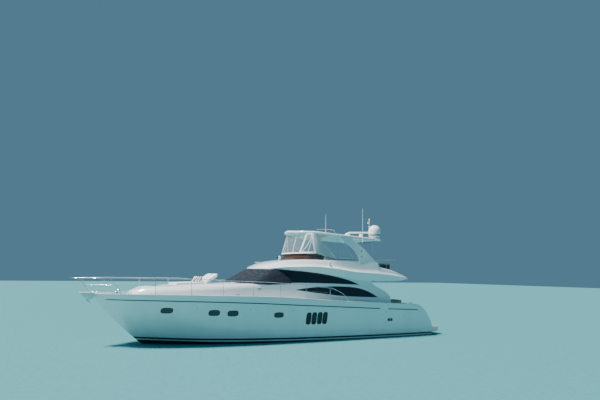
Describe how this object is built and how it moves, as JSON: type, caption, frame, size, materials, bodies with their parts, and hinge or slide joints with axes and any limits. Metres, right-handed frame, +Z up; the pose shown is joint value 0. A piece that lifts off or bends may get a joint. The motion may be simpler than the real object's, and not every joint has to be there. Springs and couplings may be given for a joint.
{
  "type": "motor yacht",
  "caption": "Flybridge motor yacht with full planing hull, hollow saloon, open cockpit, hardtop on raked arch legs, twin shafts, rudders, swim platform and bow rail.",
  "frame": {"origin": "on the waterline, on the centreline, amidships: 10.0 m ahead of the transom's foot", "axes": "+X forward to the bow, +Y to port, +Z up"},
  "size_m": [22.066, 5.44, 9.2896],
  "materials": {
    "gelcoat": "glossy white gelcoat, dark bottom paint and boot stripes on the hull",
    "tinted_glass": "near-black tinted glass",
    "navy_canvas": "woven navy canvas with sewn seams",
    "grey_canvas": "dark grey canvas",
    "pale_canvas": "pale cushion cloth",
    "clear_vinyl": "clear flexible panels in white frames",
    "smoked_acrylic": "smoked brown acrylic",
    "teak": "laid teak with dark seams",
    "joinery": "varnished joinery",
    "stainless": "polished stainless steel",
    "bronze": "machined bronze",
    "antifouled_metal": "matt bottom paint over cast metal",
    "engine_iron": "painted cast iron",
    "upholstery": "cream marine upholstery",
    "dome_plastic": "satin white plastic",
    "painted_mast": "white paint"
  },
  "bodies": {
    "yacht": {"hull": "gelcoat", "deck": "gelcoat", "bow_platform": "gelcoat", "swim_platform": "gelcoat", "deckhouse": "gelcoat", "windscreen": "tinted_glass", "upper_window_port": "tinted_glass", "upper_window_stbd": "tinted_glass", "lower_window_port": "tinted_glass", "lower_window_stbd": "tinted_glass", "windscreen_cover": "navy_canvas", "aft_bulkhead": "gelcoat", "saloon_sole": "joinery", "cockpit_sole": "teak", "flybridge": "gelcoat", "fly_stairs": "teak", "hardtop": "gelcoat", "wind_deflector": "smoked_acrylic", "fly_enclosure": "clear_vinyl", "aft_screen": "grey_canvas", "bow_rail": "stainless", "aft_rail": "stainless", "windlass": "stainless", "anchor": "stainless", "foredeck_lounger": "pale_canvas", "fly_console": "gelcoat", "fly_helm_seat": "upholstery", "fly_settee": "upholstery", "fly_bar": "gelcoat", "helm_console": "joinery", "helm_seat": "upholstery", "saloon_sofa": "upholstery", "galley_unit": "joinery", "cockpit_bench": "upholstery", "sat_dome": "dome_plastic", "small_dome": "dome_plastic", "radar_base": "dome_plastic", "light_mast": "painted_mast", "aerial_fwd": "painted_mast", "aerial_aft": "painted_mast", "engine_port": "engine_iron", "engine_stbd": "engine_iron", "shaft_bracket_port": "bronze", "shaft_bracket_stbd": "bronze"},
    "propeller_port": {"propeller_port": "bronze"},
    "propeller_stbd": {"propeller_stbd": "bronze"},
    "rudder_port": {"rudder_port": "antifouled_metal"},
    "rudder_stbd": {"rudder_stbd": "antifouled_metal"},
    "fly_wheel": {"fly_wheel": "stainless"},
    "helm_wheel": {"helm_wheel": "stainless"},
    "saloon_door": {"saloon_door": "tinted_glass"},
    "transom_gate_port": {"transom_gate_port": "gelcoat"},
    "transom_gate_stbd": {"transom_gate_stbd": "gelcoat"},
    "foredeck_hatch": {"foredeck_hatch": "smoked_acrylic"},
    "fly_hatch": {"fly_hatch": "smoked_acrylic"},
    "radar_scanner": {"radar_scanner": "dome_plastic"},
    "trim_tab_port": {"trim_tab_port": "stainless"},
    "trim_tab_stbd": {"trim_tab_stbd": "stainless"}
  },
  "joints": [
    {"name": "propeller_port_spin", "type": "hinge", "parent": "yacht", "child": "propeller_port", "pos_m": [-8.3, 0.95, -1.13], "axis": [0.9877, 0, 0.1564], "continuous": true},
    {"name": "propeller_stbd_spin", "type": "hinge", "parent": "yacht", "child": "propeller_stbd", "pos_m": [-8.3, -0.95, -1.13], "axis": [0.9877, 0, 0.1564], "continuous": true},
    {"name": "rudder_port_turn", "type": "hinge", "parent": "yacht", "child": "rudder_port", "pos_m": [-9.23, 0.95, -0.7], "axis": [0, 0, 1], "range_deg": [-35, 35]},
    {"name": "rudder_stbd_turn", "type": "hinge", "parent": "yacht", "child": "rudder_stbd", "pos_m": [-9.23, -0.95, -0.7], "axis": [0, 0, 1], "range_deg": [-35, 35]},
    {"name": "fly_wheel_turn", "type": "hinge", "parent": "yacht", "child": "fly_wheel", "pos_m": [-1.55284, -0.7, 4.44015], "axis": [-0.9063, 0, 0.4226], "range_deg": [-540, 540]},
    {"name": "helm_wheel_turn", "type": "hinge", "parent": "yacht", "child": "helm_wheel", "pos_m": [0.86716, -0.7, 2.57015], "axis": [-0.9063, 0, 0.4226], "range_deg": [-540, 540]},
    {"name": "saloon_door_slide", "type": "slide", "parent": "yacht", "child": "saloon_door", "axis": [0, 1, 0], "range_m": [0, 0.95]},
    {"name": "transom_gate_port_swing", "type": "hinge", "parent": "yacht", "child": "transom_gate_port", "pos_m": [-8.915, 2.0657, 1.65], "axis": [0, 0, 1], "range_deg": [0, 90]},
    {"name": "transom_gate_stbd_swing", "type": "hinge", "parent": "yacht", "child": "transom_gate_stbd", "pos_m": [-8.915, -2.0657, 1.65], "axis": [0, 0, -1], "range_deg": [0, 90]},
    {"name": "foredeck_hatch_lift", "type": "hinge", "parent": "yacht", "child": "foredeck_hatch", "pos_m": [7.306, 0, 3.012], "axis": [0, 1, 0], "range_deg": [0, 80]},
    {"name": "fly_hatch_lift", "type": "hinge", "parent": "yacht", "child": "fly_hatch", "pos_m": [-6.475, -1.75, 3.8083], "axis": [1, 0, 0], "range_deg": [0, 85]},
    {"name": "radar_scanner_spin", "type": "hinge", "parent": "yacht", "child": "radar_scanner", "pos_m": [-6.38, -0.4, 6.4], "axis": [0, 0, 1], "continuous": true},
    {"name": "trim_tab_port_tilt", "type": "hinge", "parent": "yacht", "child": "trim_tab_port", "pos_m": [-9.97, 1.17777, -0.47994], "axis": [0, -0.9747, -0.2233], "range_deg": [0, 20]},
    {"name": "trim_tab_stbd_tilt", "type": "hinge", "parent": "yacht", "child": "trim_tab_stbd", "pos_m": [-9.97, -1.17777, -0.47994], "axis": [0, -0.9747, 0.2233], "range_deg": [0, 20]}
  ],
  "couplings": [
    {"joint": "rudder_stbd_turn", "follows": "rudder_port_turn", "ratio": 1},
    {"joint": "fly_wheel_turn", "follows": "rudder_port_turn", "ratio": -15.4},
    {"joint": "helm_wheel_turn", "follows": "rudder_port_turn", "ratio": -15.4}
  ]
}
